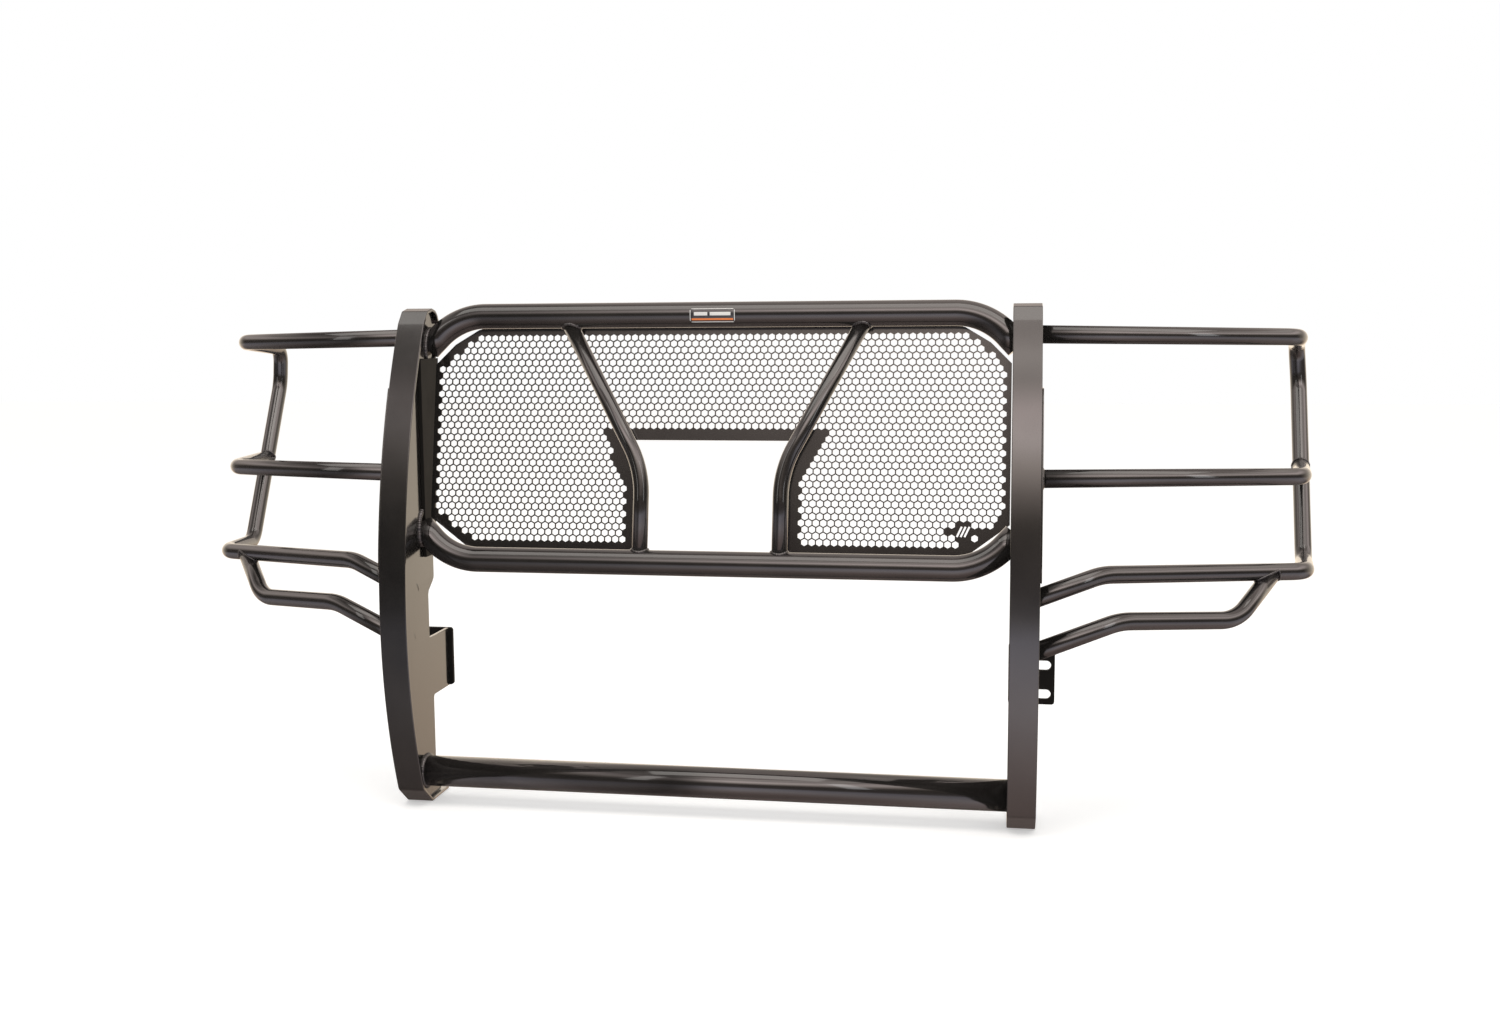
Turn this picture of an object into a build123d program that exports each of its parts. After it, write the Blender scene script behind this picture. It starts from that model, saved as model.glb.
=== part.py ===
from build123d import *
from math import cos, radians, sin, sqrt, tan
import os

os.makedirs("parts", exist_ok=True)

# Frame: X across the vehicle, -Y to the front, Z up. The origin is the middle of the
# four frame-bolt slots, on the rear faces of the two frame flanges. Millimetres.

# Uprights: a bent front strip with a profiled plate behind it
stripInner = 478.0
stripWide = 45.0
stripThick = 5.0
stripOuter = stripInner + stripWide
bellyY = -210.5
bellyZ = 110.0
lowerBow = 850.0
upperBow = 1040.0
footZ = -216.0
footRear = -44.0
sidePlateX = 484.3
sidePlateThick = 6.0
sidePlateOuter = sidePlateX + sidePlateThick

# Frame flanges with the bolt slots
flangeThick = 8.0
flangeOuter = 553.0
flangeLow = -41.0
flangeHigh = 60.0
slotX = 525.0
slotGapZ = 48.0
slotLong = 44.0
slotWide = 16.0

# Grille ring, leaning back
lean = 10.0
ringFoot = (0, -116.0, 198.2)
ringHigh = 405.0
ringTube = 41.3
ringWall = 2.5
ringStraight = 388.0
ringBendRadius = 110.0
ringBend = 47.0

# Struts inside the ring
strutTube = 25.4
strutWall = 2.0
strutX = 114.5
strutKinkZ = 152.0
strutSlope = 1.861
strutRadius = 170.0

# Punched grille sheet
sheetThick = 2.0
sheetHalf = 477.0
sheetLow = 17.2
sheetHigh = 387.8
holePitch = 12.0
holeAcross = 10.1
rowPitch = holePitch * sqrt(3) / 2
firstRow = 37.7
rowCount = 33
rowShift = -3.4
windowHigh = 201.0

# Low cross tube
lowTube = 50.8
lowWall = 3.0
lowY = -123.0
lowZ = -161.6

# Headlight wings
wingTube = 28.6
wingWall = 2.0
wingBend = 62.0

ringPlane = Plane(
    origin=ringFoot,
    x_dir=(1, 0, 0),
    z_dir=(0, -cos(radians(lean)), sin(radians(lean))),
)


def save(solid, name):
    solid.label = name
    export_step(solid, f"parts/{name}.step", write_pcurves=False)
    return solid


def mirrored(solid):
    return mirror(solid, about=Plane.YZ)


def cornerArc(before, corner, after, radius):
    """Tangent points and mid point of a bend at a corner."""
    a = (Vector(*before) - Vector(*corner)).normalized()
    b = (Vector(*after) - Vector(*corner)).normalized()
    half = radians(a.get_angle(b)) / 2
    reach = radius / tan(half)
    middle = (a + b).normalized() * (radius / sin(half) - radius)
    at = Vector(*corner)
    return at + a * reach, at + middle, at + b * reach


def bentTube(points, radii, outer, wall):
    """A round tube along straight runs with tangent bends."""
    with BuildPart() as tube:
        with BuildLine() as path:
            start = Vector(*points[0])
            for i in range(1, len(points) - 1):
                first, middle, last = cornerArc(points[i - 1], points[i], points[i + 1], radii[i - 1])
                Line(start, first)
                ThreePointArc(first, middle, last)
                start = last
            Line(start, Vector(*points[-1]))
        with BuildSketch(Plane(origin=path.line @ 0, z_dir=path.line % 0)):
            Circle(outer / 2)
            Circle(outer / 2 - wall, mode=Mode.SUBTRACT)
        sweep(path=path.line)
    return tube.part


def blockAt(low, high):
    """A plain block between two corners, used to trim tube ends."""
    with BuildPart() as block:
        with BuildSketch(Plane.XY.offset(low[2])):
            with Locations(((low[0] + high[0]) / 2, (low[1] + high[1]) / 2)):
                Rectangle(high[0] - low[0], high[1] - low[1])
        extrude(amount=high[2] - low[2])
    return block.part


def rodAt(start, end, diameter):
    """A solid rod, used to cope one tube against another."""
    with BuildPart() as rod:
        with BuildSketch(Plane(origin=start, z_dir=Vector(*end) - Vector(*start))):
            Circle(diameter / 2)
        extrude(amount=(Vector(*end) - Vector(*start)).length)
    return rod.part


def largest(shape):
    return Part(shape.solids().sort_by(SortBy.VOLUME)[-1].wrapped)


def bowY(z, inset=0.0):
    """Front face of an upright at a height, moved back by an inset."""
    bow = upperBow if z > bellyZ else lowerBow
    return bellyY + bow - sqrt((bow - inset) ** 2 - (z - bellyZ) ** 2)


# The strip's outer line, from the rear of the foot round to the back of the top curl
lowJoinZ = -186.0
highJoinZ = 586.0
curl = [(-77.0, 606.0), (-55.0, 611.0), (-40.0, 607.5), (-31.5, 600.5), (-24.5, 588.0)]


def stripLine():
    Polyline((footRear, footZ), (-119.0, footZ), (bowY(lowJoinZ), lowJoinZ))
    halfLow = (lowJoinZ + bellyZ) / 2
    ThreePointArc((bowY(lowJoinZ), lowJoinZ), (bowY(halfLow), halfLow), (bellyY, bellyZ))
    halfHigh = (highJoinZ + bellyZ) / 2
    ThreePointArc((bellyY, bellyZ), (bowY(halfHigh), halfHigh), (bowY(highJoinZ), highJoinZ))
    Polyline((bowY(highJoinZ), highJoinZ), *curl)


with BuildSketch(Plane.YZ) as stripShape:
    with BuildLine():
        stripLine()
        offset(amount=stripThick, side=Side.RIGHT, closed=True)
    make_face()

with BuildPart() as faceStrip:
    with BuildSketch(Plane.YZ.offset(stripInner)):
        add(stripShape.sketch_local)
    extrude(amount=stripWide)

# Side plate: follows the strip in front, with a stepped rear edge and a tab for the flange
plateRear = [
    (-24.5, 588.0),
    (-24.5, 532.0),
    (-68.0, 492.0),
    (-68.0, 158.0),
    (-95.0, 138.0),
    (-95.0, flangeHigh),
    (-flangeThick, flangeHigh),
    (-flangeThick, flangeLow),
    (-83.0, flangeLow),
    (-83.0, -190.0),
    (-60.0, footZ + stripThick),
    (footRear, footZ + stripThick),
    (footRear, footZ),
]

with BuildPart() as sidePlate:
    with BuildSketch(Plane.YZ.offset(sidePlateX)) as plateShape:
        with BuildLine():
            stripLine()
            Polyline(*plateRear)
        make_face()
        soft = plateShape.vertices().filter_by(lambda v: -96 < v.Y < -67 and -50 < v.Z < 170)
        fillet(soft, radius=12)
        add(stripShape.sketch_local, mode=Mode.SUBTRACT)
    extrude(amount=sidePlateThick)

# Cheek: a short outer plate on the strip's edge, which carries the middle wing tube
cheekLow = 192.0
cheekHigh = 481.0
cheekThick = 6.0
cheekRear = -94.0
with BuildPart() as cheek:
    with BuildSketch(Plane.YZ.offset(stripOuter)):
        with BuildLine():
            cheekMid = (cheekLow + cheekHigh) / 2
            edge = [(bowY(z, 2.0), z) for z in (cheekLow, cheekMid, cheekHigh)]
            ThreePointArc(*edge)
            Polyline(edge[2], (cheekRear, cheekHigh), (cheekRear, cheekLow), edge[0])
        make_face()
    extrude(amount=cheekThick)

# Stiffener bar on the side plate's inner face
barFront = -113.0
barRear = -69.0
barLow = 200.0
barHigh = 512.0
stiffener = blockAt((stripInner + 0.3, barFront, barLow), (sidePlateX, barRear, barHigh))

# Frame flange with two slots that run across the vehicle
with BuildPart() as flange:
    with BuildSketch(Plane.XZ):
        with Locations(((stripInner + flangeOuter) / 2, (flangeLow + flangeHigh) / 2)):
            RectangleRounded(flangeOuter - stripInner, flangeHigh - flangeLow, 5)
        with Locations((slotX, -slotGapZ / 2), (slotX, slotGapZ / 2)):
            SlotOverall(slotLong, slotWide, mode=Mode.SUBTRACT)
    extrude(amount=flangeThick)

# Wings: one bent outer tube, a middle tube and a lower brace on each side
wingTop = [
    (sidePlateOuter, -65.0, 562.7),
    (954.0, 200.0, 554.7),
    (989.0, 421.0, 541.0),
    (996.0, 427.0, 470.0),
    (985.0, 262.0, 166.0),
    (962.0, 116.0, 169.0),
    (620.7, -81.8, 187.7),
    (sidePlateOuter, -151.2, 148.7),
]
wingRadii = [wingBend, 36.0, 70.0, 40.0, wingBend, 60.0]
wingMiddle = [(stripOuter + cheekThick, -115.4, 341.0), (961.0, 161.0, 322.3), (990.0, 346.5, 324.0)]
braceLine = [
    (sidePlateOuter, -169.3, 68.9),
    (648.0, -95.4, 117.0),
    (838.4, 10.2, 103.7),
    (909.0, 85.3, 171.9),
]
wingLoop = bentTube(wingTop, wingRadii, wingTube, wingWall)
rearRod = rodAt(wingTop[3], wingTop[4], wingTube)
lowRod = rodAt(wingTop[5], wingTop[6], wingTube)
middleTube = bentTube(wingMiddle, [wingBend], wingTube, wingWall)
middleTube = largest(middleTube - rearRod)
braceTube = bentTube(braceLine, [55.0, 45.0], wingTube, wingWall)
braceTube = largest(braceTube - lowRod)

# Low cross tube between the side plates
with BuildPart() as crossTube:
    with BuildSketch(Plane.YZ.offset(-sidePlateX)):
        with Locations((lowY, lowZ)):
            Circle(lowTube / 2)
            Circle(lowTube / 2 - lowWall, mode=Mode.SUBTRACT)
    extrude(amount=2 * sidePlateX)

# Grille ring: an upper and a lower bent tube that end on the side plates
bendRise = ringBendRadius * tan(radians(ringBend) / 2)
cornerX = ringStraight + bendRise
endX = sidePlateX + 25.0
endDrop = (endX - cornerX) * tan(radians(ringBend))


def ringPoint(x, z, forward=0.0):
    at = ringPlane.from_local_coords(Vector(x, z, forward))
    return (at.X, at.Y, at.Z)


def ringTubeAt(z, side):
    points = [
        ringPoint(-endX, z + side * endDrop),
        ringPoint(-cornerX, z),
        ringPoint(cornerX, z),
        ringPoint(endX, z + side * endDrop),
    ]
    return bentTube(points, [ringBendRadius, ringBendRadius], ringTube, ringWall)


between = blockAt((-sidePlateX, -300, -300), (sidePlateX, 100, 700))
upperRing = largest(ringTubeAt(ringHigh, -1) & between)
lowerRing = ringTubeAt(0, 1) & between
lowerRing = largest(lowerRing - stiffener - mirrored(stiffener))

# Struts, coped to the ring tubes
upperRod = rodAt(ringPoint(-600, ringHigh), ringPoint(600, ringHigh), ringTube)
lowerRod = rodAt(ringPoint(-600, 0), ringPoint(600, 0), ringTube)
strutTop = strutX + (ringHigh - strutKinkZ) / strutSlope
strut = bentTube(
    [ringPoint(strutX, 0), ringPoint(strutX, strutKinkZ), ringPoint(strutTop, ringHigh)],
    [strutRadius],
    strutTube,
    strutWall,
)
strut = largest(strut - upperRod - lowerRod)


# Punched sheet: chamfered corners, a window between the struts, staggered six-sided holes
def strutEdge(z, gap):
    """How far out the strut's centre line, moved out by a gap, is at a height."""
    return strutX + gap + max(0.0, (z - strutKinkZ + 32.0 - gap / 2) / strutSlope)


def isPlain(x, z):
    """True where the sheet has no hole."""
    ax = abs(x)
    if ax > 467:
        return True
    if ax > 384.4 + 1.25 * (z - sheetLow) or ax > 390.6 + 1.16 * (sheetHigh - z):
        return True
    if z < 216.5 and ax < strutEdge(z, 31.0):
        return True
    if 395 < x < 415 and z < 76:
        return True
    return x > 372 and 53 < z < 64


holes = []
for row in range(rowCount):
    z = firstRow + row * rowPitch
    start = rowShift + (holePitch / 2 if row % 2 else 0.0)
    for column in range(-41, 42):
        x = start + column * holePitch
        if not isPlain(x, z):
            holes.append((x, z))

outline = [
    (-412, 21.5),
    (-396, sheetLow),
    (-strutX, sheetLow),
    (-strutX, 128),
    (-strutX - 26.5, windowHigh),
    (strutX + 26.5, windowHigh),
    (strutX, 128),
    (strutX, sheetLow),
    (396, sheetLow),
    (412, 21.5),
    (sheetHalf, 70),
    (sheetHalf, 326),
    (444, 359.5),
    (404, 384),
    (392, sheetHigh),
    (-392, sheetHigh),
    (-404, 384),
    (-444, 359.5),
    (-sheetHalf, 326),
    (-sheetHalf, 70),
]
sheetFace = -strutTube / 2


def loopAt(points):
    """A closed outline on the sheet's front face."""
    return Wire.make_polygon([ringPoint(x, z, sheetFace) for x, z in points], close=True)


def hexAt(x, z):
    reach = holeAcross / sqrt(3)
    turns = [radians(30 + 60 * i) for i in range(6)]
    return loopAt([(x + reach * cos(t), z + reach * sin(t)) for t in turns])


def slantAt(x, z):
    """A slanted slot in the plain corner."""
    slant = radians(65)
    along = (9 * cos(slant), 9 * sin(slant))
    side = (-1.5 * sin(slant), 1.5 * cos(slant))
    return loopAt([
        (x - along[0] - side[0], z - along[1] - side[1]),
        (x + along[0] - side[0], z + along[1] - side[1]),
        (x + along[0] + side[0], z + along[1] + side[1]),
        (x - along[0] + side[0], z - along[1] + side[1]),
    ])


cuts = [hexAt(x, z) for x, z in holes]
cuts += [slantAt(x, 58.5) for x in (398.6, 404.6, 410.6)]
sheetOutline = Face(loopAt(outline), cuts)
with BuildPart() as sheet:
    extrude(sheetOutline, amount=sheetThick, dir=ringPlane.z_dir * -1)
print("holes", len(holes))

# Maker's plate: a thin curved plate on the upper tube, with a raised border
with BuildPart() as badgeBase:
    with BuildSketch(Plane.YZ.offset(-37)):
        with Locations((ringPoint(0, ringHigh)[1], ringPoint(0, ringHigh)[2])):
            Circle(ringTube / 2 + 1.2)
            Circle(ringTube / 2, mode=Mode.SUBTRACT)
    extrude(amount=74)
band = blockAt((-60, -300, 584.5), (60, ringPoint(0, ringHigh)[1], 607.0))
badge = largest(badgeBase.part & band)
with BuildPart() as stripeBase:
    with BuildSketch(Plane.YZ.offset(-34)):
        with Locations((ringPoint(0, ringHigh)[1], ringPoint(0, ringHigh)[2])):
            Circle(ringTube / 2 + 1.7)
            Circle(ringTube / 2 + 1.2, mode=Mode.SUBTRACT)
    extrude(amount=68)
stripe = largest(stripeBase.part & blockAt((-60, -300, 588.0), (60, ringPoint(0, ringHigh)[1], 591.0)))

wings = [
    (wingLoop, "wing_outer_tube"),
    (middleTube, "wing_middle_tube"),
    (braceTube, "wing_lower_brace"),
    (faceStrip.part, "upright_face_strip"),
    (sidePlate.part, "upright_side_plate"),
    (cheek.part, "upright_outer_cheek"),
    (stiffener, "side_plate_stiffener"),
    (flange.part, "frame_flange"),
    (strut, "grille_strut"),
]
for solid, name in wings:
    save(mirrored(solid), "left_" + name)
    save(solid, "right_" + name)
save(upperRing, "upper_ring_tube")
save(lowerRing, "lower_ring_tube")
save(crossTube.part, "low_cross_tube")
save(sheet.part, "punched_grille_sheet")
save(badge, "maker_plate")
save(stripe, "maker_plate_stripe")
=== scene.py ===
import math
import bpy
import bmesh
from mathutils import Matrix, Vector


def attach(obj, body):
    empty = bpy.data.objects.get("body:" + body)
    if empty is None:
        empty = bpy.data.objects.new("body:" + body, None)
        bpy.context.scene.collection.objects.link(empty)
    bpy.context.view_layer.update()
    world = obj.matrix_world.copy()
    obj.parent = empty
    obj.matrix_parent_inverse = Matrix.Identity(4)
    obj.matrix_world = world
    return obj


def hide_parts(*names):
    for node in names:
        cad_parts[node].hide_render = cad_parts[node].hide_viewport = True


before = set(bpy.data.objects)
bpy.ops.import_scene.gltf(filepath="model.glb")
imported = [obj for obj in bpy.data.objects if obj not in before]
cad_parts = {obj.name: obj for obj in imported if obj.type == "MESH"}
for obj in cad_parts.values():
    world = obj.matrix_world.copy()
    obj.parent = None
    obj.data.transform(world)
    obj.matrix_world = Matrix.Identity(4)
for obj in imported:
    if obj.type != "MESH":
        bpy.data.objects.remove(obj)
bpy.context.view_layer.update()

scene = bpy.context.scene
mm = 0.001
print("frame loaded with", len(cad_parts), "nodes")


coatLook = {
    "deep": (0.0105, 0.0098, 0.0092, 1),
    "warm": (0.0185, 0.0165, 0.0150, 1),
    "gloss": (0.09, 0.17),       # smoothest and dullest roughness
    "cloudScale": 7.0,
    "filmScale": 16.0,
    "dustScale": 900.0,
    "dust": (0.09, 0.085, 0.08, 1),
    "dustShare": 0.15,
    "peelScale": 330.0,          # orange peel bumps per metre
    "peelHeight": 0.000006,
    "waveShare": 2.2,            # how much the longer waves add to the peel
    "clear": 0.55,               # clear layer over the black
    "clearRough": 0.05,
    "specular": 0.5,
}
# painted shade for the stiffeners and flanges: a duller copy of the coat with no clear layer and almost no
# reflection, so they read dark as if in shadow
shadedCoatLook = {**coatLook, "clear": 0.0, "specular": 0.02}


def newFinish(name):
    finish = bpy.data.materials.new(name)
    finish.use_nodes = True
    nodes = finish.node_tree.nodes
    nodes.clear()
    shader = nodes.new("ShaderNodeBsdfPrincipled")
    out = nodes.new("ShaderNodeOutputMaterial")
    finish.node_tree.links.new(shader.outputs["BSDF"], out.inputs["Surface"])
    place = nodes.new("ShaderNodeTexCoord")
    return finish, nodes, finish.node_tree.links, shader, place.outputs["Object"]


def noiseAt(nodes, links, place, scale, detail=3.0, rough=0.5):
    noise = nodes.new("ShaderNodeTexNoise")
    noise.inputs["Scale"].default_value = scale
    noise.inputs["Detail"].default_value = detail
    noise.inputs["Roughness"].default_value = rough
    links.new(place, noise.inputs["Vector"])
    return noise.outputs["Fac"]


def rangeOf(nodes, links, value, low, high, newLow, newHigh):
    scaled = nodes.new("ShaderNodeMapRange")
    scaled.inputs["From Min"].default_value = low
    scaled.inputs["From Max"].default_value = high
    scaled.inputs["To Min"].default_value = newLow
    scaled.inputs["To Max"].default_value = newHigh
    links.new(value, scaled.inputs["Value"])
    return scaled.outputs["Result"]


def blendColour(nodes, links, amount, first, second):
    mix = nodes.new("ShaderNodeMix")
    mix.data_type = "RGBA"
    links.new(amount, mix.inputs[0])
    for socket, colour in ((mix.inputs[6], first), (mix.inputs[7], second)):
        if isinstance(colour, tuple):
            socket.default_value = colour
        else:
            links.new(colour, socket)
    return mix.outputs[2]


def powderCoat(name, look, dullBy=0.0, peelBy=1.0):
    finish, nodes, links, shader, place = newFinish(name)
    cloud = noiseAt(nodes, links, place, look["cloudScale"], 4.0, 0.6)
    tone = rangeOf(nodes, links, cloud, 0.35, 0.68, 0.0, 1.0)
    colour = blendColour(nodes, links, tone, look["deep"], look["warm"])
    # a few specks of dust lie on the film
    specks = noiseAt(nodes, links, place, look["dustScale"], 1.0)
    dust = rangeOf(nodes, links, specks, 0.74, 0.80, 0.0, look["dustShare"])
    colour = blendColour(nodes, links, dust, colour, look["dust"])
    links.new(colour, shader.inputs["Base Color"])
    film = noiseAt(nodes, links, place, look["filmScale"], 5.0, 0.65)
    low, high = look["gloss"]
    dull = rangeOf(nodes, links, film, 0.3, 0.7, low + dullBy, high + dullBy)
    links.new(dull, shader.inputs["Roughness"])
    peel = noiseAt(nodes, links, place, look["peelScale"], 2.0, 0.4)
    wave = noiseAt(nodes, links, place, look["peelScale"] / 9, 2.0, 0.4)
    both = nodes.new("ShaderNodeMath")
    both.operation = "MULTIPLY_ADD"
    both.inputs[1].default_value = look["waveShare"]
    links.new(wave, both.inputs[0])
    links.new(peel, both.inputs[2])
    bump = nodes.new("ShaderNodeBump")
    bump.inputs["Strength"].default_value = 1.0
    bump.inputs["Distance"].default_value = look["peelHeight"] * peelBy
    links.new(both.outputs[0], bump.inputs["Height"])
    links.new(bump.outputs["Normal"], shader.inputs["Normal"])
    shader.inputs["Coat Weight"].default_value = look["clear"]
    shader.inputs["Coat Roughness"].default_value = look["clearRough"]
    shader.inputs["Specular IOR Level"].default_value = look["specular"]
    return finish


def printedFilm(name, deep, light, rough):
    finish, nodes, links, shader, place = newFinish(name)
    grain = noiseAt(nodes, links, place, 1400.0, 3.0, 0.6)
    amount = rangeOf(nodes, links, grain, 0.3, 0.7, 0.0, 1.0)
    links.new(blendColour(nodes, links, amount, deep, light), shader.inputs["Base Color"])
    links.new(rangeOf(nodes, links, grain, 0.3, 0.7, rough - 0.06, rough + 0.08), shader.inputs["Roughness"])
    bump = nodes.new("ShaderNodeBump")
    bump.inputs["Distance"].default_value = 0.00002
    links.new(grain, bump.inputs["Height"])
    links.new(bump.outputs["Normal"], shader.inputs["Normal"])
    shader.inputs["Coat Weight"].default_value = 0.4
    return finish


blackCoat = powderCoat("blackPowderCoat", coatLook)
plateCoat = powderCoat("blackPowderCoatPlate", coatLook, 0.02, 0.45)
# painted shade: the coat with its reflection taken out, used on the stiffeners and flanges
shadedCoat = powderCoat("blackPowderCoatPaintedShade", shadedCoatLook, 0.25)
weldCoat = powderCoat("blackPowderCoatWeld", coatLook, 0.06, 1.4)
sheetCoat = powderCoat("blackPowderCoatSheet", coatLook, 0.05, 0.8)
print("finishes ready")


def addPiece(name, points, faces, finish):
    mesh = bpy.data.meshes.new(name)
    mesh.from_pydata([tuple(p) for p in points], [], faces)
    return addMesh(name, mesh, finish)


def addMesh(name, mesh, finish):
    shape = bmesh.new()
    shape.from_mesh(mesh)
    bmesh.ops.recalc_face_normals(shape, faces=shape.faces)
    shape.to_mesh(mesh)
    shape.free()
    for face in mesh.polygons:
        face.use_smooth = True
    mesh.materials.clear()
    mesh.materials.append(finish)
    piece = bpy.data.objects.new(name, mesh)
    scene.collection.objects.link(piece)
    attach(piece, "root")
    return piece


def keepFlats(piece):
    steady = piece.modifiers.new("steadyShading", "WEIGHTED_NORMAL")
    steady.mode = "FACE_AREA_WITH_ANGLE"
    steady.weight = 80


def bentPath(corners, radii, step=4.0):
    # straight runs joined by round bends, one point every few degrees
    corners = [Vector(c) for c in corners]
    path = [corners[0]]
    for i in range(1, len(corners) - 1):
        back = (corners[i - 1] - corners[i]).normalized()
        onward = (corners[i + 1] - corners[i]).normalized()
        half = back.angle(onward) / 2
        reach = radii[i - 1] / math.tan(half)
        centre = corners[i] + (back + onward).normalized() * (radii[i - 1] / math.sin(half))
        first = corners[i] + back * reach - centre
        last = corners[i] + onward * reach - centre
        count = max(2, math.ceil(math.degrees(math.pi - 2 * half) / step))
        total = first.angle(last)
        for k in range(count + 1):
            share = k / count
            a = math.sin((1 - share) * total) / math.sin(total)
            b = math.sin(share * total) / math.sin(total)
            path.append(centre + first * a + last * b)
    path.append(corners[-1])
    return path


def tubeSkin(name, path, diameter, finish, sides=44):
    # rings square to the path, carried along without twist
    path = [p * mm for p in path]
    radius = diameter / 2 * mm
    heading = (path[1] - path[0]).normalized()
    up = heading.orthogonal().normalized()
    points = []
    for i, at in enumerate(path):
        before = path[max(i - 1, 0)]
        after = path[min(i + 1, len(path) - 1)]
        turned = ((at - before).normalized() + (after - at).normalized()).normalized()
        up = (up - turned * up.dot(turned)).normalized()
        side = turned.cross(up)
        for k in range(sides):
            t = 2 * math.pi * k / sides
            points.append(at + up * (radius * math.cos(t)) + side * (radius * math.sin(t)))
    faces = []
    for i in range(len(path) - 1):
        for k in range(sides):
            n = (k + 1) % sides
            faces.append((i * sides + k, i * sides + n, (i + 1) * sides + n, (i + 1) * sides + k))
    faces.append(tuple(range(sides)))
    faces.append(tuple((len(path) - 1) * sides + k for k in range(sides)))
    return addPiece(name, points, faces, finish)


def cutPlate(name, loops, thick, place, finish, edge=0.8):
    # flat plate with softened edges; loops after the first are holes
    curve = bpy.data.curves.new(name + "Outline", "CURVE")
    curve.dimensions = "2D"
    curve.fill_mode = "BOTH"
    for loop in loops:
        line = curve.splines.new("POLY")
        line.points.add(len(loop) - 1)
        for spot, (u, v) in zip(line.points, loop):
            spot.co = (u * mm, v * mm, 0, 1)
        line.use_cyclic_u = True
    curve.extrude = (thick / 2 - edge) * mm
    curve.bevel_depth = edge * mm
    curve.bevel_resolution = 2
    curve.offset = -edge * mm
    outline = bpy.data.objects.new(name + "Outline", curve)
    scene.collection.objects.link(outline)
    bpy.context.view_layer.update()
    solid = outline.evaluated_get(bpy.context.evaluated_depsgraph_get())
    mesh = bpy.data.meshes.new_from_object(solid)
    bpy.data.objects.remove(outline)
    mesh.name = name
    shape = bmesh.new()
    shape.from_mesh(mesh)
    bmesh.ops.remove_doubles(shape, verts=shape.verts, dist=0.00002)
    shape.to_mesh(mesh)
    shape.free()
    mesh.transform(place)
    piece = addMesh(name, mesh, finish)
    keepFlats(piece)
    return piece


def roundedLoop(corners, radii, step=15.0):
    # a closed outline with each corner rounded by its own radius
    loop = []
    count = len(corners)
    for i in range(count):
        here = Vector(corners[i])
        back = (Vector(corners[i - 1]) - here).normalized()
        onward = (Vector(corners[(i + 1) % count]) - here).normalized()
        if radii[i] <= 0:
            loop.append(tuple(here))
            continue
        half = back.angle(onward) / 2
        reach = radii[i] / math.tan(half)
        centre = here + (back + onward).normalized() * (radii[i] / math.sin(half))
        first = here + back * reach - centre
        last = here + onward * reach - centre
        total = first.angle(last)
        bits = max(2, math.ceil(math.degrees(total) / step))
        for k in range(bits + 1):
            a = math.sin((1 - k / bits) * total) / math.sin(total)
            b = math.sin(k / bits * total) / math.sin(total)
            loop.append(tuple(centre + first * a + last * b))
    return loop


def sideways(x):
    # a plate drawn in Y and Z stands at this X
    return Matrix(((0, 0, 1, x * mm), (1, 0, 0, 0), (0, 1, 0, 0), (0, 0, 0, 1)))


def facing(y):
    # a plate drawn in X and Z stands at this Y
    return Matrix(((1, 0, 0, 0), (0, 0, -1, y * mm), (0, 1, 0, 0), (0, 0, 0, 1)))


weldLook = {"size": 7.0, "ripple": 3.4, "height": 0.16, "sides": 10}


def weldBead(name, loop, size=None, closed=True):
    # a rippled bead laid along a line where two pieces meet
    width = (size or weldLook["size"]) / 2 * mm
    loop = [Vector(p) * mm for p in loop]
    if closed:
        loop.append(loop[0])
    lengths = [0.0]
    for a, b in zip(loop, loop[1:]):
        lengths.append(lengths[-1] + (b - a).length)
    ripple = weldLook["ripple"] * mm
    ripples = max(3, round(lengths[-1] / ripple))
    count = ripples * 5
    centre = sum(loop[:-1], Vector()) / (len(loop) - 1)
    spine = []
    k = 0
    for i in range(count if closed else count + 1):
        along = lengths[-1] * i / count
        while k < len(lengths) - 2 and lengths[k + 1] < along:
            k += 1
        span = lengths[k + 1] - lengths[k] or 1.0
        spine.append(loop[k].lerp(loop[k + 1], (along - lengths[k]) / span))
    points = []
    sides = weldLook["sides"]
    total = len(spine)
    for i, at in enumerate(spine):
        after = spine[(i + 1) % total] if closed else spine[min(i + 1, total - 1)]
        before = spine[i - 1] if closed or i else spine[0]
        along = (after - before).normalized()
        out = at - centre
        if not closed:
            out = along.orthogonal()
        out = (out - along * out.dot(along)).normalized()
        side = along.cross(out)
        phase = (i % 5) / 5
        swell = 1 + weldLook["height"] * (1 - phase) + 0.05 * math.sin(i * 0.37) + 0.04 * math.sin(i * 0.91)
        if not closed:
            swell *= min(1.0, 0.35 + min(i, total - 1 - i) / 5)
        for s in range(sides):
            t = 2 * math.pi * s / sides
            points.append(at + out * (width * swell * math.cos(t)) + side * (width * swell * math.sin(t)))
    faces = []
    for i in range(total if closed else total - 1):
        j = (i + 1) % total
        for s in range(sides):
            n = (s + 1) % sides
            faces.append((i * sides + s, i * sides + n, j * sides + n, j * sides + s))
    if not closed:
        faces.append(tuple(range(sides)))
        faces.append(tuple((total - 1) * sides + s for s in range(sides)))
    return addPiece(name, points, faces, weldCoat)


def ringOnPlate(start, onward, diameter, x):
    # where a round tube's skin meets a flat plate that stands at x
    start = Vector(start)
    heading = (Vector(onward) - start).normalized()
    up = heading.orthogonal().normalized()
    side = heading.cross(up)
    loop = []
    for k in range(72):
        t = 2 * math.pi * k / 72
        skin = start + (up * math.cos(t) + side * math.sin(t)) * (diameter / 2)
        loop.append(skin + heading * ((x - skin.x) / heading.x))
    return loop


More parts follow.
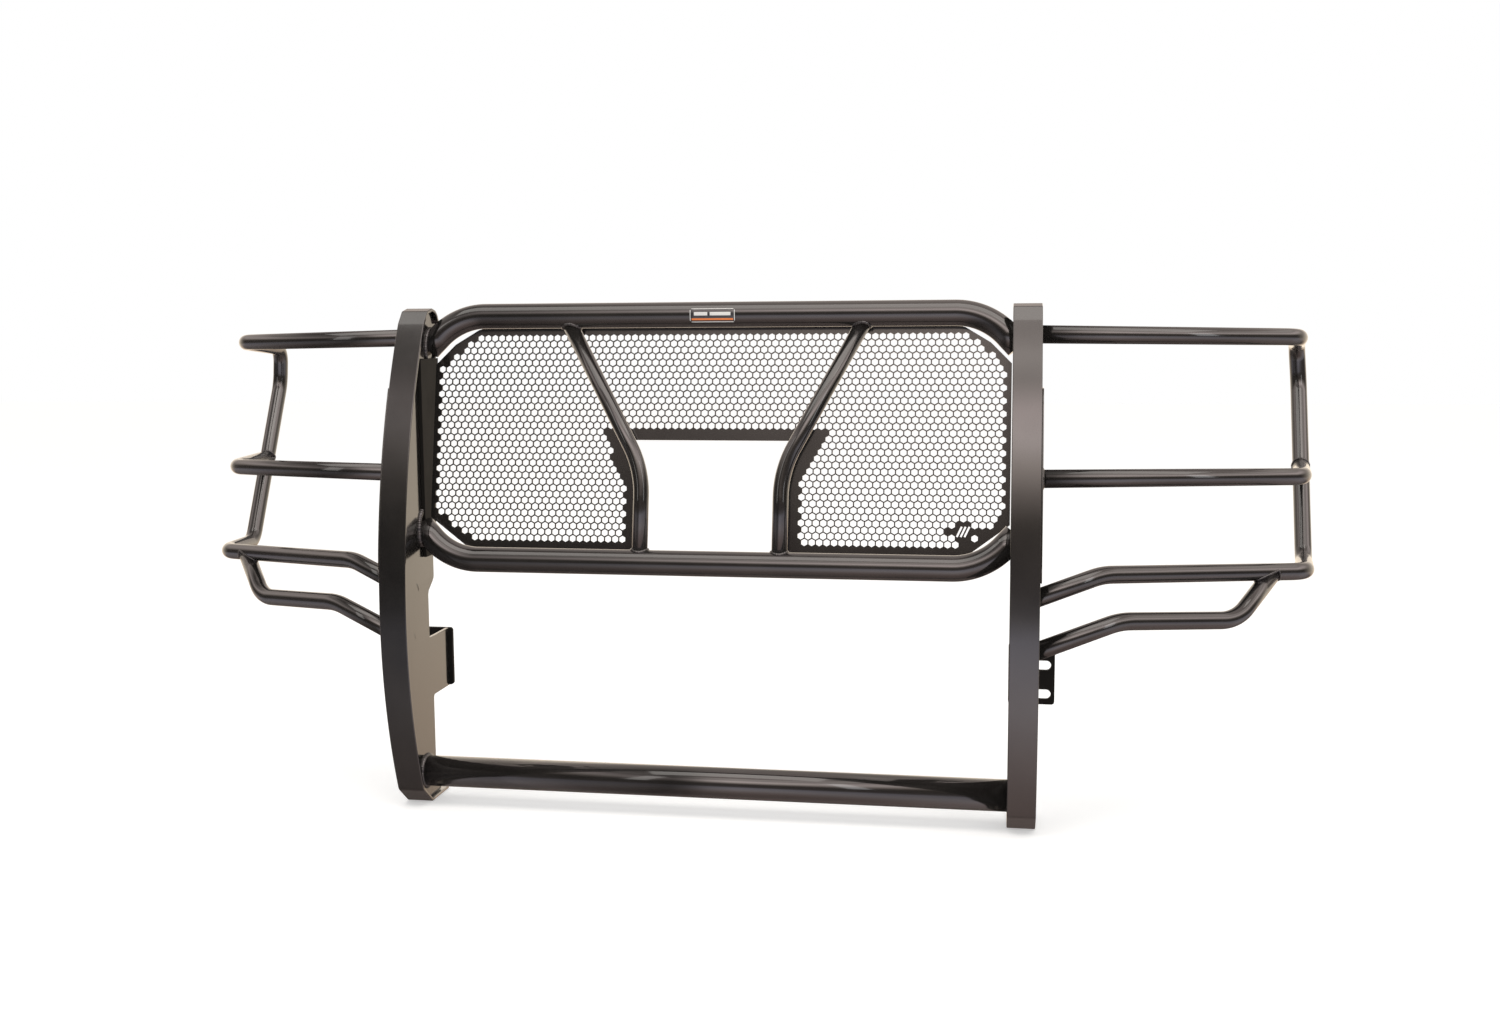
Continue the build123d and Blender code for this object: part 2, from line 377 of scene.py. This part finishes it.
def ringOnTube(start, onward, diameter, axisStart, axisEnd, bigDiameter):
    # where a round tube's skin meets the skin of another tube
    start = Vector(start)
    heading = (Vector(onward) - start).normalized()
    up = heading.orthogonal().normalized()
    side = heading.cross(up)
    base = Vector(axisStart)
    run = (Vector(axisEnd) - base).normalized()
    flat = heading - run * heading.dot(run)
    loop = []
    for k in range(72):
        t = 2 * math.pi * k / 72
        skin = start + (up * math.cos(t) + side * math.sin(t)) * (diameter / 2)
        away = skin - base
        away = away - run * away.dot(run)
        a = flat.dot(flat)
        b = away.dot(flat)
        c = away.dot(away) - (bigDiameter / 2) ** 2
        reach = (-b + math.sqrt(max(b * b - a * c, 0.0))) / a
        loop.append(skin + heading * reach)
    return loop


def across(side, points):
    return [(side * p[0], p[1], p[2]) for p in points]


sides = {"left": -1, "right": 1}


upright = {
    "inner": 478.0,
    "wide": 45.0,
    "thick": 5.0,
    "bellyY": -210.5,
    "bellyZ": 110.0,
    "lowerBow": 850.0,
    "upperBow": 1040.0,
    "lowJoin": -186.0,
    "highJoin": 586.0,
    "foot": [(-44.0, -216.0), (-119.0, -216.0)],
    "curl": [(-77.0, 606.0), (-55.0, 611.0), (-40.0, 607.5), (-31.5, 600.5), (-24.5, 588.0)],
    "bendRadius": 7.0,
    "edge": 1.3,
}


def bowY(z):
    bow = upright["upperBow"] if z > upright["bellyZ"] else upright["lowerBow"]
    return upright["bellyY"] + bow - math.sqrt(bow ** 2 - (z - upright["bellyZ"]) ** 2)


def uprightLine():
    # the strip's front line in Y and Z, from the rear of the foot to the end of the curl
    low, high, belly = upright["lowJoin"], upright["highJoin"], upright["bellyZ"]
    bow = [(bowY(low + (belly - low) * k / 16), low + (belly - low) * k / 16) for k in range(16)]
    bow += [(bowY(belly + (high - belly) * k / 24), belly + (high - belly) * k / 24) for k in range(25)]
    corners = upright["foot"] + bow[:1]
    line = bentPath([(y, z, 0) for y, z in corners + bow[1:2]], [upright["bendRadius"], 14.0], 9.0)[:-1]
    line += [Vector((y, z, 0)) for y, z in bow[1:-1]]
    curl = [bow[-2], bow[-1]] + upright["curl"]
    top = bentPath([(y, z, 0) for y, z in curl], [12.0, 5.0, 8.0, 8.0, 8.0], 9.0)
    return line + top[1:]


def offsetLine(line, depth):
    # the same line moved towards the back by a depth
    moved = []
    for i, at in enumerate(line):
        before = line[max(i - 1, 0)]
        after = line[min(i + 1, len(line) - 1)]
        a = (at - before).normalized() if i else (after - at).normalized()
        b = (after - at).normalized() if i < len(line) - 1 else a
        mid = (a + b).normalized()
        inward = Vector((mid.y, -mid.x, 0))
        moved.append(at + inward * (depth / max(mid.dot(a), 0.5)))
    return moved


frontLine = uprightLine()


def stripSection():
    # the strip's cross-section: place across, depth, with rounded corners
    edge, wide, thick = upright["edge"], upright["wide"], upright["thick"]
    corners = [(0, 0), (wide, 0), (wide, thick), (0, thick)]
    return roundedLoop(corners, [edge] * 4, 22.5)


def buildStrip(side, sign):
    section = stripSection()
    layers = {depth: offsetLine(frontLine, depth) for depth in sorted({round(d, 4) for u, d in section})}
    points = []
    for i in range(len(frontLine)):
        for u, depth in section:
            at = layers[round(depth, 4)][i]
            points.append((sign * (upright["inner"] + u) * mm, at.x * mm, at.y * mm))
    count = len(section)
    faces = []
    for i in range(len(frontLine) - 1):
        for k in range(count):
            n = (k + 1) % count
            faces.append((i * count + k, i * count + n, (i + 1) * count + n, (i + 1) * count + k))
    faces.append(tuple(range(count)))
    faces.append(tuple((len(frontLine) - 1) * count + k for k in range(count)))
    strip = addPiece(side + "FaceStrip", points, faces, plateCoat)
    keepFlats(strip)
    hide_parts(side + "_upright_face_strip")


sidePlate = {
    "x": 487.3,
    "gap": 0.2,                 # behind the strip
    "frontFrom": -205.0,        # lowest Z taken from the strip's line
    "frontTo": -76.0,           # rearmost Y taken from it
    "thick": 6.0,
    "rear": [
        (-55.0, 604.5), (-34.0, 595.0), (-26.0, 588.0), (-26.0, 532.0), (-68.0, 492.0),
        (-68.0, 158.0), (-95.0, 138.0), (-95.0, 60.0), (-8.0, 60.0), (-8.0, -41.0),
        (-83.0, -41.0), (-83.0, -190.0), (-60.0, -210.5), (-112.0, -210.5),
    ],
    "soften": [0, 0, 0, 6, 8, 12, 12, 3, 0, 0, 6, 8, 2, 0],
}


def buildSidePlate(side, sign):
    inner = offsetLine(frontLine, upright["thick"] + sidePlate["gap"])
    lowest, rearmost = sidePlate["frontFrom"], sidePlate["frontTo"]
    front = [(p.x, p.y) for p in inner if p.y > lowest and p.x < rearmost]
    corners = front + sidePlate["rear"]
    radii = [0] * len(front) + sidePlate["soften"]
    loop = roundedLoop(corners, radii)
    place = sideways(sign * sidePlate["x"])
    plate = cutPlate(side + "SidePlate", [loop], sidePlate["thick"], place, plateCoat)
    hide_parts(side + "_upright_side_plate")


cheek = {
    "x": 524.2, "thick": 2.4, "low": 192.0, "high": 481.0, "rear": -94.0,
    "setBack": 2.5, "steps": 12,
}
stiffener = {
    "x": 481.3, "thick": 5.8, "front": -113.0, "rear": -69.0, "low": 200.0, "high": 528.0,
    "leanFrom": 215.0, "highRear": -34.0,
}


def buildCheek(side, sign):
    front = []
    for k in range(cheek["steps"] + 1):
        z = cheek["low"] + (cheek["high"] - cheek["low"]) * k / cheek["steps"]
        front.append((bowY(z) + cheek["setBack"], z))
    loop = front + [(cheek["rear"], cheek["high"]), (cheek["rear"], cheek["low"])]
    plate = cutPlate(side + "OuterCheek", [loop], cheek["thick"], sideways(sign * cheek["x"]), plateCoat)
    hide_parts(side + "_upright_outer_cheek")


def buildStiffener(side, sign):
    bar = stiffener
    # its rear edge follows the sheet's lean near the top
    loop = [
        (bar["front"], bar["low"]), (bar["rear"], bar["low"]), (bar["rear"], bar["leanFrom"]),
        (bar["highRear"], bar["high"]), (bar["front"], bar["high"]),
    ]
    # painted shade: the stiffener gets the reflection-free copy of the coat so it reads dark
    plate = cutPlate(side + "Stiffener", [loop], bar["thick"], sideways(sign * bar["x"]), shadedCoat)
    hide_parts(side + "_side_plate_stiffener")


flange = {
    "inner": 478.0, "outer": 553.0, "low": -41.0, "high": 60.0, "thick": 8.0,
    "corner": 5.0, "slotX": 525.0, "slotGap": 48.0, "slotLong": 44.0, "slotWide": 16.0,
    "beadZ": (-36, 8, 55), "bead": 6.0,
}


def buildFlange(side, sign):
    f = flange
    edges = sorted((sign * f["inner"], sign * f["outer"]))
    corners = [(edges[0], f["low"]), (edges[1], f["low"]), (edges[1], f["high"]), (edges[0], f["high"])]
    loops = [roundedLoop(corners, [f["corner"]] * 4)]
    for z in (-f["slotGap"] / 2, f["slotGap"] / 2):
        half, tall, x = f["slotLong"] / 2, f["slotWide"] / 2, sign * f["slotX"]
        slot = [(x - half, z - tall), (x + half, z - tall), (x + half, z + tall), (x - half, z + tall)]
        loops.append(roundedLoop(slot, [tall - 0.01] * 4))
    # painted shade: the flange gets the reflection-free copy of the coat so it reads dark
    plate = cutPlate(side + "FrameFlange", loops, f["thick"], facing(-f["thick"] / 2), shadedCoat)
    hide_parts(side + "_frame_flange")
    tabX = sign * (sidePlate["x"] + sidePlate["thick"] / 2)
    bead = [(tabX, -f["thick"], z) for z in f["beadZ"]]
    weldBead(side + "FlangeWeld", bead, f["bead"], closed=False)


for side, sign in sides.items():
    buildStrip(side, sign)
    buildSidePlate(side, sign)
    buildCheek(side, sign)
    buildStiffener(side, sign)
    buildFlange(side, sign)
print("uprights and flanges built")


ring = {
    "lean": 10.0,
    "footY": -116.0,
    "footZ": 198.2,
    "high": 405.0,
    "tube": 41.3,
    "straight": 388.0,
    "bendRadius": 110.0,
    "bend": 47.0,
    "plateX": 484.3,
    "into": 2.0,                # how far the drawn tube runs into the web
    "weld": 7.5,
}
leanAngle = math.radians(ring["lean"])


def ringPoint(x, up, forward=0.0):
    y = ring["footY"] + up * math.sin(leanAngle) - forward * math.cos(leanAngle)
    z = ring["footZ"] + up * math.cos(leanAngle) + forward * math.sin(leanAngle)
    return Vector((x, y, z))


def buildRingTube(name, node, up, turn):
    bend = math.radians(ring["bend"])
    cornerX = ring["straight"] + ring["bendRadius"] * math.tan(bend / 2)
    endX = ring["plateX"] + ring["into"]
    drop = (endX - cornerX) * math.tan(bend) * turn
    corners = [
        ringPoint(-endX, up + drop), ringPoint(-cornerX, up),
        ringPoint(cornerX, up), ringPoint(endX, up + drop),
    ]
    tube = tubeSkin(name, bentPath(corners, [ring["bendRadius"]] * 2, 2.5), ring["tube"], blackCoat, 56)
    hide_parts(node)
    for side, sign in sides.items():
        start = corners[2 if sign > 0 else 1]
        end = corners[3 if sign > 0 else 0]
        loop = ringOnPlate(start, end, ring["tube"], sign * ring["plateX"])
        weldBead(side + name[0].upper() + name[1:] + "Weld", loop, ring["weld"])


buildRingTube("upperRingTube", "upper_ring_tube", ring["high"], -1)
buildRingTube("lowerRingTube", "lower_ring_tube", 0.0, 1)

strut = {"tube": 25.4, "x": 114.5, "kink": 152.0, "slope": 1.861, "bendRadius": 170.0, "weld": 5.5}


def buildStrut(side, sign):
    s = strut
    topX = s["x"] + (ring["high"] - s["kink"]) / s["slope"]
    foot = sign * s["x"]
    corners = [ringPoint(foot, 0), ringPoint(foot, s["kink"]), ringPoint(sign * topX, ring["high"])]
    path = bentPath(corners, [s["bendRadius"]], 2.5)
    tube = tubeSkin(side + "GrilleStrut", path, s["tube"], blackCoat)
    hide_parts(side + "_grille_strut")
    for end, onward, up, word in ((0, 1, 0.0, "Low"), (2, 1, ring["high"], "High")):
        loop = ringOnTube(
            corners[end], corners[onward], s["tube"], ringPoint(-400, up), ringPoint(400, up), ring["tube"]
        )
        weldBead(side + "Strut" + word + "Weld", loop, s["weld"])


for side, sign in sides.items():
    buildStrut(side, sign)

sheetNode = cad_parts["punched_grille_sheet"]
sheetNode.data.materials.clear()
sheetNode.data.materials.append(sheetCoat)
sheetNode.visible_glossy = False  # its holes would show as a pattern on the plates
print("ring, struts and sheet built")


lowTube = {"tube": 50.8, "y": -123.0, "z": -161.6, "plateX": 484.3, "into": 1, "weld": 8.0}
reach = lowTube["plateX"] + lowTube["into"]
ends = [(x, lowTube["y"], lowTube["z"]) for x in (-reach, reach)]
crossTube = tubeSkin("lowCrossTube", [Vector(e) for e in ends], lowTube["tube"], blackCoat, 64)
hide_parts("low_cross_tube")
for side, sign in sides.items():
    loop = ringOnPlate(ends[0], ends[1], lowTube["tube"], sign * lowTube["plateX"])
    weldBead(side + "CrossTubeWeld", loop, lowTube["weld"])
print("low cross tube built")


wing = {
    "tube": 28.6,
    "plateX": 490.3,
    "cheekX": 525.4,
    "outer": [
        (490.3, -65.0, 562.7), (954.0, 200.0, 554.7), (989.0, 421.0, 541.0), (996.0, 427.0, 470.0),
        (985.0, 262.0, 166.0), (962.0, 116.0, 169.0), (620.7, -81.8, 187.7), (490.3, -151.2, 148.7),
    ],
    "outerBends": [62.0, 36.0, 70.0, 40.0, 62.0, 115.0],
    "middle": [(524.4, -118.3, 341.2), (961.0, 161.0, 322.3), (990.0, 346.5, 324.0)],
    "middleBends": [62.0],
    "brace": [(490.3, -169.3, 68.9), (648.0, -95.4, 117.0), (838.4, 10.2, 103.7), (905.0, 83.0, 172.1)],
    "braceBends": [115.0, 80.0],
    "weld": 5.0,
    "tubeWeld": 3.4,
}


def buildWing(side, sign):
    outer = across(sign, wing["outer"])
    middle = across(sign, wing["middle"])
    brace = across(sign, wing["brace"])
    size = wing["tube"]
    loopPath = bentPath(outer, wing["outerBends"])
    midPath = bentPath(middle, wing["middleBends"])
    bracePath = bentPath(brace, wing["braceBends"])
    loopTube = tubeSkin(side + "WingOuterTube", loopPath, size, blackCoat)
    midTube = tubeSkin(side + "WingMiddleTube", midPath, size, blackCoat)
    braceTube = tubeSkin(side + "WingBrace", bracePath, size, blackCoat)
    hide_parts(side + "_wing_outer_tube")
    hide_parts(side + "_wing_middle_tube")
    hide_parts(side + "_wing_lower_brace")
    plate, cheekFace = sign * wing["plateX"], sign * wing["cheekX"]
    onPlates = (
        ("WingTopWeld", outer[1], outer[0], plate),
        ("WingLowWeld", outer[-2], outer[-1], plate),
        ("BracePlateWeld", brace[1], brace[0], plate),
        ("MiddleCheekWeld", middle[1], middle[0], cheekFace),
    )
    for word, start, end, x in onPlates:
        weldBead(side + word, ringOnPlate(start, end, size, x), wing["weld"])
    onTubes = (
        ("MiddleRearWeld", middle[2], middle[1], outer[3], outer[4]),
        ("BraceTubeWeld", brace[3], brace[2], outer[5], outer[6]),
    )
    for word, start, onward, axisStart, axisEnd in onTubes:
        loop = ringOnTube(start, onward, size, axisStart, axisEnd, size)
        weldBead(side + word, loop, wing["tubeWeld"])


for side, sign in sides.items():
    buildWing(side, sign)
print("wings built")


makerPlate = {
    "wide": 74.0, "low": 584.5, "high": 607.0, "thick": 1.2, "corner": 2.5, "border": 1.3,
    "stripe": (-34, 34, 588.0, 591.0), "stripeTop": 0.4,
    "bars": ((-30, -8), (-4, 30)), "barZ": (595.5, 601.0),
    "inset": 0.2, "raised": 0.3,
}
plateBlack = printedFilm("makerPlateBlack", (0.012, 0.012, 0.013, 1), (0.03, 0.03, 0.032, 1), 0.3)
plateSilver = printedFilm("makerPlateSilver", (0.55, 0.54, 0.52, 1), (0.74, 0.73, 0.71, 1), 0.32)
plateOrange = printedFilm("makerPlateOrange", (0.60, 0.13, 0.015, 1), (0.78, 0.21, 0.03, 1), 0.34)


def curvedPatch(name, x0, x1, z0, z1, inner, outer, finish, slotName, corner=0.0):
    # a thin patch bent round the upper ring tube
    axis = ringPoint(0, ring["high"])
    rows, columns = 14, 12
    points = []
    for radius in (inner, outer):
        for r in range(rows + 1):
            z = z0 + (z1 - z0) * r / rows
            near = min(z - z0, z1 - z)
            cut = corner - math.sqrt(max(corner ** 2 - (corner - near) ** 2, 0)) if near < corner else 0.0
            for c in range(columns + 1):
                x = x0 + cut + (x1 - x0 - 2 * cut) * c / columns
                lift = z - axis.z
                points.append(Vector((x, axis.y - math.sqrt(radius ** 2 - lift ** 2), z)) * mm)
    row = columns + 1
    layer = row * (rows + 1)
    faces = []
    for r in range(rows):
        for c in range(columns):
            a = r * row + c
            faces.append((a, a + 1, a + row + 1, a + row))
            faces.append((layer + a, layer + a + 1, layer + a + row + 1, layer + a + row))
    rim = [c for c in range(row)]
    rim += [r * row + columns for r in range(1, rows + 1)]
    rim += [rows * row + c for c in range(columns - 1, -1, -1)]
    rim += [r * row for r in range(rows - 1, 0, -1)]
    for a, b in zip(rim, rim[1:] + rim[:1]):
        faces.append((a, b, layer + b, layer + a))
    patch = addPiece(name, points, faces, finish)
    keepFlats(patch)
    return patch


skin = ring["tube"] / 2
half = makerPlate["wide"] / 2
low, high = makerPlate["low"], makerPlate["high"]
top = skin + makerPlate["thick"]
rimWide = makerPlate["border"]
inset, raised = makerPlate["inset"], top + makerPlate["raised"]
sunk = top - inset
corner = makerPlate["corner"]
base = curvedPatch("makerPlate", -half, half, low, high, skin, top, plateBlack, "maker_plate", corner)
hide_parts("maker_plate")
band, bandTop = makerPlate["stripe"], top + makerPlate["stripeTop"]
stripe = curvedPatch("makerPlateStripe", *band, sunk, bandTop, plateOrange, "maker_plate_stripe")
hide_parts("maker_plate_stripe")
borders = {
    "Top": (-half + corner, half - corner, high - rimWide, high - inset),
    "Low": (-half + corner, half - corner, low + inset, low + rimWide),
    "Left": (-half + inset, -half + rimWide, low + corner, high - corner),
    "Right": (half - rimWide, half - inset, low + corner, high - corner),
}
for word, box in borders.items():
    curvedPatch("makerPlateBorder" + word, *box, sunk, raised, plateSilver, "maker_plate")
for x0, x1 in makerPlate["bars"]:
    name = "makerPlateBar" + str(x0 + 30)
    curvedPatch(name, x0, x1, *makerPlate["barZ"], sunk, raised, plateSilver, "maker_plate")
print("maker's plate built")


studio = {
    "floorZ": -0.2165,
    "floorHalf": 14.0,
    "floorColour": (0.86, 0.86, 0.855, 1),
    "floorGlow": 0.35,
    "softColour": (1.0, 0.985, 0.97, 1),
    "softLight": 0.75,
    # what the coat reflects from behind the guard, from the floor up
    "back": [
        (-1.00, (0.14, 0.12, 0.11)),
        (-0.42, (0.22, 0.18, 0.16)),
        (-0.31, (0.85, 0.66, 0.50)),
        (-0.24, (1.06, 0.84, 0.64)),
        (-0.14, (1.28, 1.09, 0.86)),
        (0.12, (1.20, 1.05, 0.88)),
        (0.40, (0.70, 0.60, 0.54)),
        (1.00, (0.90, 0.78, 0.72)),
    ],
    # and from in front of it
    "front": [
        (-1.00, (0.50, 0.37, 0.34)),
        (-0.83, (0.90, 0.66, 0.61)),
        (-0.69, (1.30, 1.03, 1.00)),
        (-0.48, (1.85, 1.64, 1.70)),
        (-0.22, (1.50, 1.42, 1.62)),
        (-0.13, (0.55, 0.49, 0.50)),
        (-0.03, (0.26, 0.21, 0.21)),
        (0.20, (0.24, 0.19, 0.16)),
        (0.30, (1.30, 1.08, 0.98)),
        (0.40, (3.40, 2.90, 2.65)),
        (0.48, (5.20, 4.50, 4.30)),
        (0.58, (4.70, 3.95, 3.80)),
        (0.66, (2.50, 2.20, 2.05)),
        (0.73, (3.60, 3.20, 3.00)),
        (0.82, (1.70, 1.42, 1.32)),
        (1.00, (1.30, 1.10, 1.02)),
    ],
    # and how bright the front is from the left to the right
    "across": [
        (-1.0, 0.40), (-0.42, 0.14), (-0.30, 0.34), (-0.18, 0.75),
        (0.0, 1.0), (0.35, 0.85), (1.0, 0.6),
    ],
}


def buildFloor():
    reach = studio["floorHalf"]
    mesh = bpy.data.meshes.new("studioFloor")
    count = 8
    points = []
    for i in range(count + 1):
        for j in range(count + 1):
            points.append((reach * (2 * i / count - 1), reach * (2 * j / count - 1), studio["floorZ"]))
    row = count + 1
    faces = [
        (i * row + j, (i + 1) * row + j, (i + 1) * row + j + 1, i * row + j + 1)
        for i in range(count) for j in range(count)
    ]
    mesh.from_pydata(points, [], faces)
    floor = bpy.data.objects.new("studioFloor", mesh)
    scene.collection.objects.link(floor)
    finish, nodes, links, shader, place = newFinish("studioFloorPaper")
    grain = noiseAt(nodes, links, place, 60.0, 4.0)
    paper = blendColour(nodes, links, grain, studio["floorColour"], (0.9, 0.9, 0.9, 1))
    links.new(paper, shader.inputs["Base Color"])
    shader.inputs["Roughness"].default_value = 0.9
    shader.inputs["Specular IOR Level"].default_value = 0.0
    shader.inputs["Emission Color"].default_value = (1, 1, 1, 1)
    shader.inputs["Emission Strength"].default_value = studio["floorGlow"]
    mesh.materials.append(finish)
    floor.visible_glossy = False


def rampOver(nodes, links, value, stops):
    # a colour band whose stops run from -1 to 1
    ramp = nodes.new("ShaderNodeValToRGB")
    band = ramp.color_ramp
    while len(band.elements) < len(stops):
        band.elements.new(0.5)
    for spot, (at, colour) in zip(band.elements, stops):
        spot.position = (at + 1) / 2
        level = (colour, colour, colour) if isinstance(colour, float) else colour
        spot.color = (*level, 1)
    links.new(rangeOf(nodes, links, value, -1.0, 1.0, 0.0, 1.0), ramp.inputs["Fac"])
    return ramp.outputs["Color"]


def buildSurround():
    # a room for the reflections, a soft white for the light and plain white to look at
    world = bpy.data.worlds.new("studioSurround")
    scene.world = world
    world.use_nodes = True
    nodes = world.node_tree.nodes
    links = world.node_tree.links
    nodes.clear()
    place = nodes.new("ShaderNodeTexCoord")
    split = nodes.new("ShaderNodeSeparateXYZ")
    links.new(place.outputs["Generated"], split.inputs[0])
    front = rampOver(nodes, links, split.outputs["Z"], studio["front"])
    across = rampOver(nodes, links, split.outputs["X"], studio["across"])
    dim = nodes.new("ShaderNodeMix")
    dim.data_type = "RGBA"
    dim.blend_type = "MULTIPLY"
    dim.inputs[0].default_value = 1.0
    links.new(front, dim.inputs[6])
    links.new(across, dim.inputs[7])
    back = rampOver(nodes, links, split.outputs["Z"], studio["back"])
    toBack = rangeOf(nodes, links, split.outputs["Y"], 0.05, 0.65, 0.0, 1.0)
    room = blendColour(nodes, links, toBack, dim.outputs[2], back)
    reflected = nodes.new("ShaderNodeBackground")
    links.new(room, reflected.inputs["Color"])
    seen = nodes.new("ShaderNodeBackground")
    seen.inputs["Color"].default_value = (1, 1, 1, 1)
    soft = nodes.new("ShaderNodeBackground")
    soft.inputs["Color"].default_value = studio["softColour"]
    soft.inputs["Strength"].default_value = studio["softLight"]
    rays = nodes.new("ShaderNodeLightPath")
    glossOrSoft = nodes.new("ShaderNodeMixShader")
    links.new(rays.outputs["Is Glossy Ray"], glossOrSoft.inputs[0])
    links.new(soft.outputs[0], glossOrSoft.inputs[1])
    links.new(reflected.outputs[0], glossOrSoft.inputs[2])
    choose = nodes.new("ShaderNodeMixShader")
    links.new(rays.outputs["Is Camera Ray"], choose.inputs[0])
    links.new(glossOrSoft.outputs[0], choose.inputs[1])
    links.new(seen.outputs[0], choose.inputs[2])
    out = nodes.new("ShaderNodeOutputWorld")
    links.new(choose.outputs[0], out.inputs["Surface"])


lampAim = Vector((0, 0, 0.2))
lamps = {
    "overheadBox": {
        "at": (0.0, -0.9, 3.0), "size": (4.2, 1.6), "power": 45, "tint": (1.0, 0.96, 0.91),
    },
    "frontLeftBox": {
        "at": (-2.6, -3.0, 1.7), "size": (0.7, 2.2), "power": 9, "tint": (1.0, 0.97, 0.94),
    },
    "frontRightBox": {
        "at": (3.0, -2.6, 1.5), "size": (0.6, 2.0), "power": 9, "tint": (0.96, 0.98, 1.0),
    },
}


def buildLamp(name, lamp):
    light = bpy.data.lights.new(name, "AREA")
    light.shape = "RECTANGLE"
    light.size, light.size_y = lamp["size"]
    light.energy = lamp["power"]
    light.color = lamp["tint"]
    holder = bpy.data.objects.new(name, light)
    scene.collection.objects.link(holder)
    holder.location = lamp["at"]
    aim = lampAim - Vector(lamp["at"])
    holder.rotation_mode = "QUATERNION"
    holder.rotation_quaternion = aim.to_track_quat("-Z", "Y")


buildFloor()
buildSurround()
for name, lamp in lamps.items():
    buildLamp(name, lamp)
scene.view_settings.view_transform = "Standard"
print("studio ready")


cameraSetup = {
    "at": (0.4689, -2.4949, 0.5708),
    "right": (0.98619, 0.16546, -0.00612),
    "up": (-0.01321, 0.11545, 0.99322),
    "back": (0.16504, -0.97943, 0.11605),
    "lens": 36.54,
}
view = bpy.data.cameras.new("frontView")
view.lens = cameraSetup["lens"]
view.sensor_width = 36.0
view.sensor_fit = "HORIZONTAL"
view.clip_start = 0.05
view.clip_end = 100.0
eye = bpy.data.objects.new("frontView", view)
scene.collection.objects.link(eye)
axes = Matrix((cameraSetup["right"], cameraSetup["up"], cameraSetup["back"])).transposed()
eye.matrix_world = Matrix.Translation(cameraSetup["at"]) @ axes.to_4x4()
scene.camera = eye
print("camera ready")
